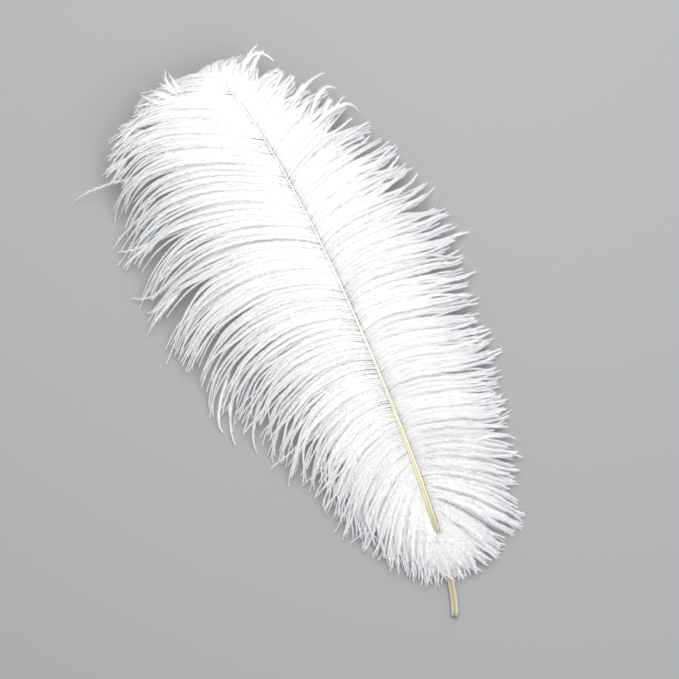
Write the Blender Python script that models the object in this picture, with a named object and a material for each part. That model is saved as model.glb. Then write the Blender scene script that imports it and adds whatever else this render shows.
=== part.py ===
"""An ostrich plume as one closed solid, lying on a flat surface with its tip rolled under.

Seen from above, the shaft follows one curve from the cut quill to the fold. Each side of it carries a
vane of soft locks that leave the shaft at an angle and bend back towards the quill. The vanes droop to
the surface on both sides of the arched shaft. Shaft and vanes are first laid out with the tip straight,
and the roll then turns everything past the fold under. Lengths are in millimetres and angles in degrees
until the meshes are made, and heights are measured from the surface.
"""

import math
import random

import bmesh
import bpy
import numpy as np
from mathutils import Vector

MM = 0.001

# Shaft. The curve is a cubic seen from above, with the quill's cut end at its first point.
SHAFT_CURVE = np.array(((0, 0), (22, 30), (38, 345), (1.5, 398)), float)
SHAFT_PAST_CURVE = 48
SHAFT_RADII = ((0, 2.4), (20, 2.4), (60, 2.0), (90, 1.6), (130, 1.2), (180, 0.85), (260, 0.55), (450, 0.4))
SHAFT_SIDES = 8
SHAFT_RING_STEP = 9
SHAFT_HIDDEN_END = 16  # the last of the shaft is buried between the tip's locks

# Arch and roll
ARCH_START = 20  # the quill lies flat up to here
ARCH_END = 330
ARCH_HEIGHT = 43  # of the shaft's centre
FOLD = 400.3  # the farthest reach of the roll
ROLL_RADIUS = 19

# Vanes
VANE_START = 60  # distance along the shaft
LOCKS = 32  # on each side
LOCK_UNEVENNESS = 0.16
LOCK_LENGTH_SPREAD = 0.06
VANE_LOFT = 6  # rise of the vane above the shaft before it droops
VANE_LOFT_ROLLED = 2.5
VANE_THICKNESS = ((0, 3), (0.2, 4.1), (0.6, 3.7), (1, 2.2))  # by share of a lock's length
DOWN_FULLNESS = ((VANE_START, 4.2), (140, 1))  # thicker locks of down, by distance along the shaft
RIDGE_HEIGHT = 2.4  # between the middle of a lock and the valley beside it
LEAST_THICKNESS = 1.4
TIP_HEIGHT = 0.9
DROOP_POWER = 2.3
DROOP_LEFT = ((-45, 1), (0, 0.3), (30, 0.05))  # share of the droop, by distance past the start of the roll
SEED = 7

# Share of the vane, heading at root, middle and tip from the shaft's own direction, and length
LEFT_BARBS = np.array(
    (
        (0.00, 180, 180, 180, 31),
        (0.03, 158, 176, 170, 50),
        (0.07, 132, 168, 158, 66),
        (0.12, 106, 159, 148, 79),
        (0.22, 76, 140, 134, 89),
        (0.34, 58, 118, 131, 110),
        (0.41, 54, 106, 132, 131),
        (0.46, 52, 98, 128, 136),
        (0.52, 51, 84, 127, 136),
        (0.58, 50, 71, 124, 136),
        (0.70, 50, 50, 119, 125),
        (0.76, 48, 46, 107, 107),
        (0.80, 46, 44, 97, 77),
        (0.88, 38, 40, 60, 50),
        (0.95, 26, 28, 44, 42),
        (1.00, 0, 0, 0, 30),
    ),
    float,
)
RIGHT_BARBS = np.array(
    (
        (0.00, 180, 180, 180, 31),
        (0.03, 140, 165, 150, 53),
        (0.07, 104, 150, 136, 71),
        (0.12, 80, 138, 106, 77),
        (0.22, 70, 137, 91, 78),
        (0.34, 66, 134, 85, 83),
        (0.46, 64, 121, 85, 87),
        (0.58, 60, 101, 83, 77),
        (0.64, 55, 88, 80, 66),
        (0.70, 50, 74, 80, 49),
        (0.80, 46, 58, 74, 32),
        (0.88, 44, 50, 66, 33),
        (0.95, 36, 40, 54, 32),
        (1.00, 0, 0, 0, 30),
    ),
    float,
)
LEFT, RIGHT = -1, 1
BARBS = {LEFT: LEFT_BARBS, RIGHT: RIGHT_BARBS}
# Share of a lock's length at which it parts from the next one: at the quill, half way and at the tip
NOTCHES = {LEFT: (0.86, 0.74, 0.74), RIGHT: (0.86, 0.8, 0.74)}
NOTCH_SPREAD = 0.06

MIDDLE = 0.5
INNER_COLUMNS = (0.25, MIDDLE, 0.75)  # across a lock
ROWS_TO_NOTCH = (0, 0.08, 0.24, 0.44, 0.64, 0.82, 1)
ROWS_PAST_NOTCH = (0.4, 0.75)
PATH_STEPS = 48

WHITE = (0.92, 0.92, 0.91, 1)
CREAM = (0.80, 0.74, 0.58, 1)


def smooth_step(low, high, value):
    share = min(max((value - low) / (high - low), 0), 1)
    return share * share * (3 - 2 * share)


def shaft_line():
    """Points along the shaft seen from above, and the distance of each from the quill's end."""
    share = np.linspace(0, 1, 300)[:, None]
    p0, p1, p2, p3 = SHAFT_CURVE
    curve = (1 - share) ** 3 * p0 + 3 * share * (1 - share) ** 2 * p1
    curve += 3 * share**2 * (1 - share) * p2 + share**3 * p3
    ahead = (p3 - p2) / np.linalg.norm(p3 - p2)
    past = p3 + ahead * np.linspace(0, SHAFT_PAST_CURVE, 40)[1:, None]
    points = np.vstack((curve, past))
    steps = np.linalg.norm(np.diff(points, axis=0), axis=1)
    return points, np.concatenate(((0,), np.cumsum(steps)))


SHAFT_POINTS, SHAFT_DISTANCES = shaft_line()
SHAFT_LENGTH = float(SHAFT_DISTANCES[-1])


def on_shaft(distance):
    """Place on the shaft seen from above, and its heading from +Y, turning left."""

    def place(at):
        return np.array([np.interp(at, SHAFT_DISTANCES, SHAFT_POINTS[:, axis]) for axis in (0, 1)])

    ahead = place(min(distance + 2, SHAFT_LENGTH)) - place(max(distance - 2, 0))
    return place(distance), math.atan2(-ahead[0], ahead[1])


def shaft_radius(distance):
    distances, radii = zip(*SHAFT_RADII)
    return float(np.interp(distance, distances, radii))


def shaft_height(y):
    """Height of the shaft's centre. The quill's lowest flat lies on the surface."""
    at_quill = SHAFT_RADII[0][1] * math.cos(math.pi / SHAFT_SIDES)
    return at_quill + (ARCH_HEIGHT - at_quill) * smooth_step(ARCH_START, ARCH_END, y)


ROLL_Y = FOLD - ROLL_RADIUS - VANE_LOFT_ROLLED


def rolled(x, y, z):
    """The point after the part past the fold is turned under."""
    past = y - ROLL_Y
    if past <= 0:
        return Vector((x, y, z))
    radius = ROLL_RADIUS + z - ARCH_HEIGHT
    angle = min(past / ROLL_RADIUS, math.pi)
    straight = max(past - math.pi * ROLL_RADIUS, 0)
    return Vector(
        (
            x,
            ROLL_Y + radius * math.sin(angle) - straight,
            ARCH_HEIGHT - ROLL_RADIUS + radius * math.cos(angle),
        )
    )


def barb_place(side, distance, reach):
    """Place seen from above, with the tip straight, at a share of the length of the barb that leaves here."""
    share = (distance - VANE_START) / (SHAFT_LENGTH - VANE_START)
    table = BARBS[side]
    root, middle, tip, length = (np.interp(share, table[:, 0], table[:, column]) for column in (1, 2, 3, 4))
    steps = (np.arange(PATH_STEPS) + 0.5) / PATH_STEPS * reach
    heading = (1 - steps) ** 2 * root + 2 * steps * (1 - steps) * middle + steps**2 * tip
    start, along = on_shaft(distance)
    angle = along - side * np.radians(heading)
    step_length = length * reach / PATH_STEPS
    return start + np.array((-np.sin(angle).sum(), np.cos(angle).sum())) * step_length


def vane_heights(distance, y, reach):
    """Heights of the vane's top and underside over a place at this share of a lock's length."""
    in_roll = smooth_step(-60, 0, y - ROLL_Y)
    root = shaft_height(on_shaft(distance)[0][1])
    loft = VANE_LOFT + (VANE_LOFT_ROLLED - VANE_LOFT) * in_roll
    droop = float(np.interp(y - ROLL_Y, *zip(*DROOP_LEFT)))
    inner = min(reach, 1)
    shares, thicknesses = zip(*VANE_THICKNESS)
    thickness = float(np.interp(inner, shares, thicknesses)) * (1 - 0.45 * in_roll)
    thickness *= float(np.interp(distance, *zip(*DOWN_FULLNESS)))
    top = root - (root - VANE_THICKNESS[-1][1]) * droop * inner**DROOP_POWER
    top += loft * math.sin(math.pi * inner**0.7)
    underside = max(top - thickness, 0)
    return max(top, underside + LEAST_THICKNESS), underside


class Side:
    """One vane: where its locks lie along the shaft, how long each is, and where neighbours part."""

    def __init__(self, side, valleys, draw):
        self.side = side
        self.valleys = valleys
        self.lengths = [1 + draw.uniform(-1, 1) * LOCK_LENGTH_SPREAD for _ in range(LOCKS)]
        self.notches = []
        for place in range(LOCKS + 1):
            notch = float(np.interp(place / LOCKS, (0, 0.5, 1), NOTCHES[side]))
            self.notches.append(notch + draw.uniform(-1, 1) * NOTCH_SPREAD)

    def point(self, distance, reach, dip):
        """Top and underside points. The dip lowers the top towards a valley."""
        x, y = barb_place(self.side, distance, reach)
        top, underside = vane_heights(distance, y, reach)
        room = top - underside - LEAST_THICKNESS
        lowered = top - min(dip * RIDGE_HEIGHT * min(reach / 0.3, 1), room)
        return rolled(x, y, lowered), rolled(x, y, underside)

    def edge_point(self, distance, reach):
        """A point where the top meets the underside."""
        x, y = barb_place(self.side, distance, reach)
        top, underside = vane_heights(distance, y, reach)
        return rolled(x, y, underside + min(TIP_HEIGHT, (top - underside) / 2))


def root_vertices(bm, distance, with_underside=True):
    """Vertices on the shaft's centre line, above and below, from which both vanes start."""
    (x, y), _ = on_shaft(distance)
    top, underside = vane_heights(distance, y, 0)
    above = bm.verts.new(rolled(x, y, top))
    return above, bm.verts.new(rolled(x, y, underside)) if with_underside else None


def valley_column(bm, vane, place, root):
    """Top and underside vertices from root to notch, between two locks."""
    distance = vane.valleys[place]
    notch = vane.notches[place]
    top, under = [root[0]], [root[1]]
    for share in ROWS_TO_NOTCH[1:-1]:
        above, below = vane.point(distance, share * notch, 1)
        top.append(bm.verts.new(above))
        under.append(bm.verts.new(below))
    parting = bm.verts.new(vane.edge_point(distance, notch))
    return top + [parting], under + [parting]


def inner_column(bm, vane, lock, share_across, root):
    """Top vertices from the root to the last row before the tip. The middle column has an underside too."""
    low, high = vane.valleys[lock], vane.valleys[lock + 1]
    middle = (low + high) / 2
    distance = low + (high - low) * share_across
    notch = (vane.notches[lock] + vane.notches[lock + 1]) / 2
    in_middle = share_across == MIDDLE
    dip = 0 if in_middle else 0.3
    top, under = [root[0]], [root[1]]
    for share in ROWS_TO_NOTCH[1:]:
        above, below = vane.point(distance, share * notch, dip)
        top.append(bm.verts.new(above))
        if in_middle:
            under.append(bm.verts.new(below))
    for share in ROWS_PAST_NOTCH:
        reach = notch + (vane.lengths[lock] - notch) * share
        narrowed = middle + (distance - middle) * (1 - share)
        above, below = vane.point(narrowed, reach, dip + 0.25 * share)
        top.append(bm.verts.new(above))
        if in_middle:
            under.append(bm.verts.new(below))
    return top, under


def free_edge(bm, vane, lock, place):
    """Vertices on a lock's edge past the notch, drawing in towards its tip."""
    middle = (vane.valleys[lock] + vane.valleys[lock + 1]) / 2
    distance = vane.valleys[place]
    notch = vane.notches[place]
    found = []
    for share in ROWS_PAST_NOTCH:
        reach = notch + (vane.lengths[lock] - notch) * share
        narrowed = middle + (distance - middle) * (1 - share)
        found.append(bm.verts.new(vane.edge_point(narrowed, reach)))
    return found


def add_strip(bm, first, second, tip, flip):
    """Faces between two columns that both end at the tip."""
    for row in range(len(first) - 1):
        corners = (first[row], first[row + 1], second[row + 1], second[row])
        bm.faces.new(corners[::-1] if flip else corners)
    corners = (first[-1], tip, second[-1])
    bm.faces.new(corners[::-1] if flip else corners)


def add_vane(bm, vane, columns, inner_roots):
    """One side's top and underside sheets, lock by lock."""
    for lock in range(LOCKS):
        middle = (vane.valleys[lock] + vane.valleys[lock + 1]) / 2
        tip = bm.verts.new(vane.edge_point(middle, vane.lengths[lock]))
        start_edge = free_edge(bm, vane, lock, lock)
        end_edge = free_edge(bm, vane, lock, lock + 1)
        inner = [
            inner_column(bm, vane, lock, share, root)
            for share, root in zip(INNER_COLUMNS, inner_roots[lock])
        ]
        tops = [columns[lock][0] + start_edge]
        tops += [column[0] for column in inner]
        tops += [columns[lock + 1][0] + end_edge]
        for first, second in zip(tops, tops[1:]):
            add_strip(bm, first, second, tip, vane.side == LEFT)
        unders = [columns[lock][1] + start_edge, inner[1][1], columns[lock + 1][1] + end_edge]
        for first, second in zip(unders, unders[1:]):
            add_strip(bm, first, second, tip, vane.side == RIGHT)


def vanes_mesh():
    """Both vanes as one closed mesh. They meet along the shaft, round the quill and at the tip."""
    draw = random.Random(SEED)
    spacing = (SHAFT_LENGTH - VANE_START) / LOCKS
    valleys = [VANE_START + spacing * place for place in range(LOCKS + 1)]
    for place in range(1, LOCKS):
        valleys[place] += draw.uniform(-1, 1) * LOCK_UNEVENNESS * spacing
    left, right = Side(LEFT, valleys, draw), Side(RIGHT, valleys, draw)
    bm = bmesh.new()
    roots = [root_vertices(bm, distance) for distance in valleys]
    inner_roots = [
        [root_vertices(bm, low + (high - low) * share, share == MIDDLE) for share in INNER_COLUMNS]
        for low, high in zip(valleys, valleys[1:])
    ]
    ends = {place: valley_column(bm, left, place, roots[place]) for place in (0, LOCKS)}
    for vane in (left, right):
        columns = [
            ends[place] if place in ends else valley_column(bm, vane, place, roots[place])
            for place in range(LOCKS + 1)
        ]
        add_vane(bm, vane, columns, inner_roots)
    return bm


def shaft_mesh():
    """A tapering tube of flat-sided rings with closed ends."""
    bm = bmesh.new()
    end = SHAFT_LENGTH - SHAFT_HIDDEN_END
    distances = np.linspace(0, end, round(end / SHAFT_RING_STEP) + 1)

    def centre(distance):
        x, y = on_shaft(distance)[0]
        return rolled(x, y, shaft_height(y))

    rings = []
    for distance in distances:
        ahead = (centre(distance + 1) - centre(max(distance - 1, 0))).normalized()
        across = (Vector((1, 0, 0)) - ahead * ahead.x).normalized()
        up = across.cross(ahead)
        radius = shaft_radius(distance)
        ring = []
        for side in range(SHAFT_SIDES):
            angle = math.tau * (side + 0.5) / SHAFT_SIDES
            offset = (across * math.cos(angle) + up * math.sin(angle)) * radius
            ring.append(bm.verts.new(centre(distance) + offset))
        rings.append(ring)
    for first, second in zip(rings, rings[1:]):
        for side in range(SHAFT_SIDES):
            following = (side + 1) % SHAFT_SIDES
            bm.faces.new((first[side], first[following], second[following], second[side]))
    bm.faces.new(rings[0][::-1])
    bm.faces.new(rings[-1])
    return bm


def add_object(name, bm, material):
    bmesh.ops.scale(bm, verts=bm.verts, vec=(MM, MM, MM))
    bmesh.ops.recalc_face_normals(bm, faces=bm.faces)
    mesh = bpy.data.meshes.new(name)
    bm.to_mesh(mesh)
    bm.free()
    mesh.materials.append(material)
    mesh.shade_smooth()
    mesh.set_sharp_from_angle(angle=math.radians(50))
    added = bpy.data.objects.new(name, mesh)
    bpy.context.collection.objects.link(added)
    return added


def add_material(name, colour, roughness):
    material = bpy.data.materials.new(name)
    material.use_nodes = True
    shader = material.node_tree.nodes["Principled BSDF"]
    shader.inputs["Base Color"].default_value = colour
    shader.inputs["Roughness"].default_value = roughness
    shader.inputs["Metallic"].default_value = 0
    return material


def set_origin(meshes):
    """Moves the meshes together, so that the origin is on the surface under the middle of the feather."""
    points = [vertex.co for mesh in meshes for vertex in mesh.vertices]
    shift = Vector((0, 0, 0))
    for axis in (0, 1):
        reach = [point[axis] for point in points]
        shift[axis] = -(min(reach) + max(reach)) / 2
    for point in points:
        point += shift


def main():
    for leftover in list(bpy.data.objects):
        bpy.data.objects.remove(leftover)
    feather = add_object("feather", vanes_mesh(), add_material("barbs", WHITE, 0.9))
    shaft = add_object("shaft", shaft_mesh(), add_material("shaft", CREAM, 0.45))
    set_origin((feather.data, shaft.data))
    shaft.hide_render = True
    shaft.display_type = "WIRE"
    joined = feather.modifiers.new("shaft", "BOOLEAN")
    joined.operation = "UNION"
    joined.solver = "EXACT"
    joined.object = shaft
    joined.material_mode = "TRANSFER"


main()
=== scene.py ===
"""Looks of the ostrich plume: its shaft and every barb with its barbules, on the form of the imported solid.

The barbs follow the same curves as the solid's locks, so the layout below repeats the part's own values. As
there, the feather is first laid out in millimetres with its tip straight, measured from the middle of the
quill's cut end and from the surface, and everything past the fold is then rolled under.

A distance is measured along the shaft from the quill's end. A reach is measured along a barb, as a share of
the length that the tables give there, and along is a share of the barb's own length. The angles among the
values below are in degrees unless they say otherwise.
"""

import math
import random

import bpy
import numpy as np
from mathutils import Matrix, Vector

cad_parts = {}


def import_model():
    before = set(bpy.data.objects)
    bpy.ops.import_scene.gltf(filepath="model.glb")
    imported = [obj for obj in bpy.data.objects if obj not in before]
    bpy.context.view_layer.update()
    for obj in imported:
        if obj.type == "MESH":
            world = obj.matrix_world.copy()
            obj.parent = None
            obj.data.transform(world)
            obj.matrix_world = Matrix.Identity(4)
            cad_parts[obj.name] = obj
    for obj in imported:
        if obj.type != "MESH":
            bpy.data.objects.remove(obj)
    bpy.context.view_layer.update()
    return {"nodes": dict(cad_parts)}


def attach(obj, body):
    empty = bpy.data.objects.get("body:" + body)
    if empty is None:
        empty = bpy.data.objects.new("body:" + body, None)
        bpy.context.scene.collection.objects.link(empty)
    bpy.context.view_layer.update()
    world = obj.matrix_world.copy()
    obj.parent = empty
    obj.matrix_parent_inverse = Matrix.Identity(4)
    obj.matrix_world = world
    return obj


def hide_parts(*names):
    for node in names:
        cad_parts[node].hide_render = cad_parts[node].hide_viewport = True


MM = 0.001
LEFT, RIGHT = -1, 1

# Layout shared with the solid
SHAFT_CURVE = np.array(((0, 0), (22, 30), (38, 345), (1.5, 398)), float)
SHAFT_PAST_CURVE = 48
CURVE_POINTS, PAST_CURVE_POINTS = 300, 40
SHAFT_RADII = ((0, 2.4), (20, 2.4), (60, 2.0), (90, 1.6), (130, 1.2), (180, 0.85), (260, 0.55), (450, 0.4))
SOLID_SHAFT_SIDES = 8
HEADING_STEP = 2  # to both sides of the place whose heading is wanted
ARCH_START = 20
ARCH_END = 330
ARCH_HEIGHT = 43
FOLD = 400.3
ROLL_RADIUS = 19
ROLL_BLEND = 60  # stretch before the roll over which the vane grows thin and flat
VANE_START = 60
LOCKS = 32
LOCK_UNEVENNESS = 0.16
LOCK_LENGTH_SPREAD = 0.06
VANE_LOFT = 6
VANE_LOFT_ROLLED = 2.5
LOFT_POWER = 0.7
VANE_THICKNESS = ((0, 3), (0.2, 4.1), (0.6, 3.7), (1, 2.2))
THINNING_IN_ROLL = 0.45
DOWN_FULLNESS = ((VANE_START, 4.2), (140, 1))
LEAST_THICKNESS = 1.4
DROOP_POWER = 2.3
DROOP_LEFT = ((-45, 1), (0, 0.3), (30, 0.05))
SEED = 7
# Share of the vane, heading at root, middle and tip from the shaft's own direction, and length
LEFT_BARBS = np.array(
    (
        (0.00, 180, 180, 180, 31),
        (0.03, 158, 176, 170, 50),
        (0.07, 132, 168, 158, 66),
        (0.12, 106, 159, 148, 79),
        (0.22, 76, 140, 134, 89),
        (0.34, 58, 118, 131, 110),
        (0.41, 54, 106, 132, 131),
        (0.46, 52, 98, 128, 136),
        (0.52, 51, 84, 127, 136),
        (0.58, 50, 71, 124, 136),
        (0.70, 50, 50, 119, 125),
        (0.76, 48, 46, 107, 107),
        (0.80, 46, 44, 97, 77),
        (0.88, 38, 40, 60, 50),
        (0.95, 26, 28, 44, 42),
        (1.00, 0, 0, 0, 30),
    ),
    float,
)
RIGHT_BARBS = np.array(
    (
        (0.00, 180, 180, 180, 31),
        (0.03, 140, 165, 150, 53),
        (0.07, 104, 150, 136, 71),
        (0.12, 80, 138, 106, 77),
        (0.22, 70, 137, 91, 78),
        (0.34, 66, 134, 85, 83),
        (0.46, 64, 121, 85, 87),
        (0.58, 60, 101, 83, 77),
        (0.64, 55, 88, 80, 66),
        (0.70, 50, 74, 80, 49),
        (0.80, 46, 58, 74, 32),
        (0.88, 44, 50, 66, 33),
        (0.95, 36, 40, 54, 32),
        (1.00, 0, 0, 0, 30),
    ),
    float,
)
BARBS = {LEFT: LEFT_BARBS, RIGHT: RIGHT_BARBS}
NOTCHES = {LEFT: (0.86, 0.74, 0.74), RIGHT: (0.86, 0.8, 0.74)}
NOTCH_SPREAD = 0.06

# Grid on which a vane's curves are worked out once
FLOW_COLUMNS = 240
FLOW_ROWS = 80
FLOW_REACH = 1.2

# Barbs: how many, how thick and how long
POINTS = 30  # along a barb
BARBS_IN_LOCK = ((0, 32), (3, 24), (8, 13), (LOCKS, 9))  # by the lock's place from the quill
BARB_UNEVENNESS = (0.2, 0.8)  # where a barb grows, as shares of its own stretch of the lock
CORE_RADIUS = ((0, 0.28), (0.5, 0.26), (0.9, 0.24), (1, 0.1))  # of a barb's stem
LENGTHENING = 1.055  # makes up for what the next four take away
DOWN_SHORTENING = 0.06
TAPER = 0.1  # shorter barbs at a bunch's sides, which makes it pointed
RAGGED = 0.1  # shorter by chance
BUNCH_SHORTENING = 0.08
TAPER_POWER = 1.5
LOCK_LENGTHS = {  # as shares of the solid's, where they differ
    (LEFT, 20): 1.02,
    (LEFT, 21): 1.04,
    (LEFT, 22): 0.9,
    (LEFT, 23): 1.04,
    (LEFT, 24): 1.04,
    (LEFT, 25): 1.03,
}

# Roots
ROOT_ASIDE = 0.75  # of the shaft's radius, from its middle
ROOT_ASIDE_IN_DOWN = 0.5  # more than that
ROOT_ASIDE_END = 0.35  # reach at which nothing is left of it
ROOTS_BACK = 5  # towards the quill, for the barbs next to it
ROOTS_BACK_STRETCH = 50  # distance over which it fades
ROOT_LAYER = 0.9  # barbs leave the shaft in one row, at this share of the vane's thickness
ROOT_LAYER_END = 0.3  # reach from which each barb is at its own
ROOT_RISE = 0.6  # and this share of the shaft's radius higher
ROOT_RISE_END = 0.12
FURROWS = 1.6  # from one furrow to the next, between the roots
FURROW_START = 0.02  # reach by which they are deep
FURROW_END = (0.08, 0.22)  # and reaches between which they fade
FURROW_DEPTH = 0.5  # and twice that in the down
FURROW_DRAW = 0.22  # how far the roots beside a furrow move apart

# Bunches
BUNCHES = (1, 4)  # one to three in a lock
GATHER_START = -0.2  # before the notch
GATHER_END = 1.02
GATHERING = {LEFT: (0.2, 0.7), RIGHT: (0.4, 0.8)}  # share drawn in to the bunch's middle at its tip
GATHERING_SPREAD = (0.7, 1.15)
GATHERING_IN_LOCK = 0.2  # to the lock's middle
GATHERING_IN_DOWN = 0.3  # of the usual
OPEN_EDGE = {  # where the vane's edge opens into single strands, by distance
    LEFT: ((286, 0), (298, 1), (345, 1), (358, 0)),
    RIGHT: ((75, 0), (95, 0.7), (150, 0.7), (175, 0)),
}
OPEN_STRANDS = 5  # in a lock there
OPEN_GATHERING = 0.85
# Share of the vane, and how far along the shaft's line the tips beside it move apart, or together below 0
PARTINGS = {
    LEFT: ((0.407, -3.5), (0.496, 8.0), (0.565, 5.0), (0.615, 2.4), (0.652, 2.0)),
    RIGHT: (
        (0.83, 2.0),
        (0.745, 1.6),
        (0.662, -2.0),
        (0.645, 4.0),
        (0.624, -2.5),
        (0.407, -1.5),
        (0.34, -2.5),
    ),
}
PARTING_WIDTH = 7
PARTING_START, PARTING_END = 0.55, 1

# Bends: about how far a lock, a bunch or a barb lies to one side at the tip, and how late that comes, as the
# power of reach that it grows by
LOCK_SWAY = {LEFT: 3.5, RIGHT: 2.5}
LOCK_SWAY_POWER = 3
LOCK_HOOK = {LEFT: 5.0, RIGHT: 2.5}
LOCK_HOOK_SPREAD = 0.5
LOCK_HOOK_POWER = 8
BUNCH_LEAN = {LEFT: 2.5, RIGHT: 2.0}
BUNCH_LEAN_SPREAD = 0.6
BUNCH_LEAN_POWER = 5
CALM_LOCKS = {LEFT: (15, 16, 17, 18), RIGHT: (19, 20, 21)}  # beside the clefts
CALM_SWAY = 0.2  # of the usual
BARB_SWAY = 1.6
BARB_SWAY_POWER = 1.2
BARB_SWAY_CYCLES = 1.2
TIP_HOOK = {LEFT: 5.5, RIGHT: 3.0}
TIP_HOOK_BIAS = {  # towards the quill, by distance
    LEFT: ((288, 0.4), (302, 0.9), (345, 0.9), (360, 0.4)),
    RIGHT: ((0, 0), (1, 0)),
}
TIP_HOOK_SPREAD = 0.6
TIP_HOOK_START, TIP_HOOK_END = 0.6, 1.05
RUFFLE = {  # how much more the single barbs sway and hook, by distance
    LEFT: ((95, 1), (115, 1.7), (195, 1.7), (215, 1)),
    RIGHT: ((0, 1), (1, 1)),
}
WANDER_WAVES = ((0.65, 1), (0.35, 2.3))  # size and speed of the waves that a swing is made of
WANDER_SPREAD = (0.6, 1.4)  # of their speed, from barb to barb

# Heights
LOWEST_LAYER = 0.02  # share of the vane's thickness
LAYER_POWER = 0.8  # more barbs near the top than near the underside
HEIGHT_WANDER = 0.45
HEIGHT_WANDER_CYCLES = 2
HEIGHT_WANDER_START = (0.05, 0.3)  # reaches between which it grows
TIP_LIFT = 7  # at the most
TIP_LIFT_RARITY = 3  # the higher, the fewer tips are lifted
TIP_LIFT_POWER = 4
LOWEST = 0.05  # nothing lies lower than this over the surface

# Barbules: width of the strand on each side of its stem, and their angle to the stem, by share along it
STRAND_WIDTH = {
    LEFT: ((0, 0.7), (0.07, 1.0), (0.2, 1.9), (0.35, 1.9), (0.55, 1.5), (0.8, 0.9), (1, 0.5)),
    RIGHT: ((0, 0.9), (0.08, 1.2), (0.22, 1.9), (0.5, 1.9), (0.75, 1.4), (0.9, 1.1), (1, 0.8)),
}
STRAND_WIDTH_SPREAD = (0.55, 1.25)
BARBULE_ANGLE = ((0, 32), (0.3, 30), (0.75, 24), (1, 16))
BARBULE_ANGLE_SPREAD = (0.7, 1.3)
LEAST_ANGLE = 0.2  # in radians, for a barbule's length
BARBULE_WIDTH = ((0, 0.36), (0.2, 0.42), (0.4, 0.34), (0.7, 0.21), (1, 0.18))
BARBULES_PER_MM = ((0, 15), (0.06, 10), (0.4, 12), (0.8, 16.5), (1, 17.5))
BARBULE_TILT = ((0, 0.3), (0.6, 0.7))
BARBULE_ROLL = 0.6  # in radians, round the stem
BARBULE_ROLL_IN_DOWN = 0.4  # more than that
BURIED_BARBULES = 0.55  # share left on the barbs at the vane's underside
DENSITY_STEPS = 101
DOWN_WEIGHT = ((62, 1), (95, 0.55), (170, 0))  # how downy the barbs are, by distance
DOWN_WIDENING = 0.9
DOWN_WIDENING_START = (0.03, 0.25)
DOWN_WIDENING_END = (0.6, 1)
DOWN_ANGLE = 26
DOWN_ANGLE_LOSS = 0.5  # share lost at the tip

# Short down round the quill, where the shaft comes out of it
TUFT_BARBS = 130
TUFT_SEED = SEED + 10
TUFT_FROM, TUFT_TO = 46, 59  # distances
TUFT_HEADINGS = (125, 185)
TUFT_CURL = 14  # to either side, towards the tip
TUFT_LENGTHS = (11, 24)
TUFT_RISE = (1, 5)
TUFT_BULGE = 2  # more than the rise
TUFT_TIP_RISE = 0.7  # share of the rise that is left at the tip
TUFT_TIP_DROP = 0.4  # share of the shaft's height that is lost there

# Single barbs that stand apart: root, bend and tip seen from above, their heights, and the stem's radius.
# They are placed as they lie, after the roll.
STRAYS = (
    ((-22, 393), (-25, 400), (-23, 407), 38, 42, 0.2),
    ((21, 384), (29, 392), (38, 397), 44, 46, 0.32),
    ((26, 381), (33, 388), (40, 392), 44, 43, 0.3),
    ((22, 384), (35, 393), (44, 385), 43, 38, 0.3),
    ((40, 350), (57, 361), (71, 364), 36, 22, 0.32),
    ((49, 338), (64, 353), (74, 352), 34, 20, 0.32),
    ((50, 329), (63, 342), (69, 346), 30, 18, 0.3),
    ((45, 332), (71.6, 340), (82, 333), 32, 8, 0.32),
    ((64, 280), (83, 288), (94, 294), 24, 10, 0.3),
    ((-60, 351), (-94.5, 357.5), (-114, 357), 24, 3, 0.16),
    ((-50, 312), (-83, 310), (-102, 314), 24, 4, 0.25),
    ((-56, 313), (-90, 307), (-104, 302), 22, 4, 0.25),
    ((-56, 290), (-87, 278), (-106, 282), 20, 3, 0.25),
    ((-66, 276), (-91, 269), (-102, 269), 18, 2, 0.25),
    ((-68, 275), (-94, 264), (-107, 256), 18, 2, 0.25),
    ((-52, 216), (-76, 190), (-85, 166), 12, 2, 0.26),
    ((-46, 196), (-67, 173), (-74, 155), 12, 2, 0.26),
    ((-58, 220), (-83, 193), (-89, 176), 12, 2, 0.26),
    ((-38, 176), (-59, 157), (-67, 144), 12, 2, 0.26),
    ((60, 100), (75, 99), (86, 91), 12, 5, 0.3),
)
STRAY_DROP_POWER = 1.5
STRAY_FUZZ = 0.9  # barbules on the thickest stray, as a share of the usual
STRAY_SEED = SEED + 20

# Short barbs that stand out from the fold's left side: share of the way along it, x, y and height of the
# root, and heading from +Y, turning left. They are placed as they lie, too.
FRINGE_BARBS = 40
FRINGE = ((0, -18, 389, 40, 20), (0.3, -34, 384, 38, 42), (0.65, -53, 377, 35, 68), (1, -74, 361, 26, 96))
FRINGE_SCATTER = 1.5
FRINGE_HEADING_SPREAD = 12
FRINGE_LENGTHS = (11, 19)
FRINGE_CURL = 34  # on, towards the tip
FRINGE_CURL_SPREAD = (-0.2, 1)
FRINGE_DROP = 9
FRINGE_DROP_SPREAD = (0.5, 1.3)
FRINGE_DROP_POWER = 1.6

# Shaft
SHAFT_HIDDEN_END = 16  # left out, under the roll
SHAFT_SLIMMING = ((140, 1), (300, 0.68))  # share of the solid's radius, which has to stay printable
SHAFT_RINGS = 170
SHAFT_SIDES = 20
CUT_END_ROUNDING = 0.9  # share of the radius left at the rim
GROOVE_DEPTH = 0.2  # share of the radius, on the top of the shaft
GROOVE_WIDTH = math.radians(24)
GROOVED = ((50, 0), (80, 1), (250, 1), (330, 0.3))

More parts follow.
